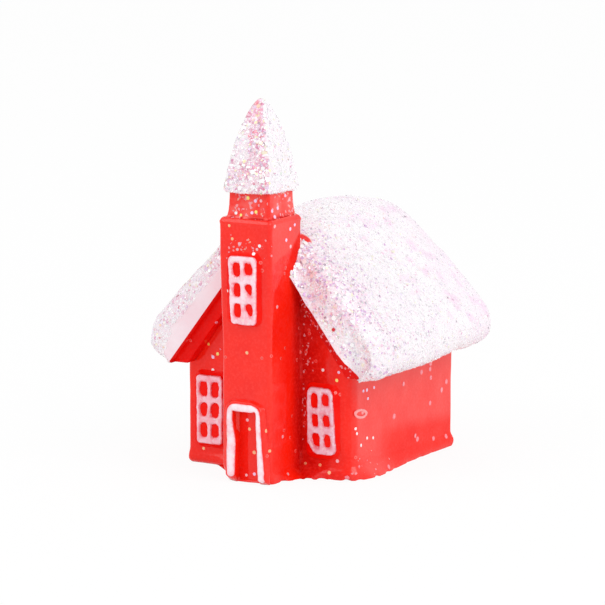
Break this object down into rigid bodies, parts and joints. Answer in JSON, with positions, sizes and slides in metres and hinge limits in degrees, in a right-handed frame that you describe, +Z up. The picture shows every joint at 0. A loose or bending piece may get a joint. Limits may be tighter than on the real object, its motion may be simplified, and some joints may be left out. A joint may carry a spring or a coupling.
{
  "type": "christmas village house",
  "caption": "Miniature red village chapel ornament with square front tower, belfry, spire, thick glittered snow on the roof, raised lattice windows and an arched-top door surround.",
  "frame": {"origin": "middle of the footprint of the house's four walls, on the surface it stands on", "axes": "+Z up along the tower and spire, -Y out of the front gable that carries the tower and the door, +X to the right seen from the front"},
  "size_m": [0.0288, 0.0309, 0.04],
  "materials": {
    "red_glaze": "glossy red glaze with scattered glitter flakes",
    "deep_red_glaze": "glossy deep red glaze",
    "snow": "matt moulded snow, painted white and coated with iridescent glitter",
    "white_trim": "satin hand-painted pinkish white"
  },
  "bodies": {
    "root": {"house_body": "red_glaze", "roof_deck": "deep_red_glaze", "roof_snow": "snow", "tower_shaft": "red_glaze", "belfry": "red_glaze", "spire_core": "red_glaze", "spire_snow": "snow", "tower_window_block": "red_glaze", "right_window_block": "red_glaze", "left_window_block": "red_glaze", "tower_lattice": "white_trim", "right_lattice": "white_trim", "left_lattice": "white_trim", "door_frame": "red_glaze", "door_leaf": "deep_red_glaze", "door_surround": "white_trim"}
  },
  "joints": []
}
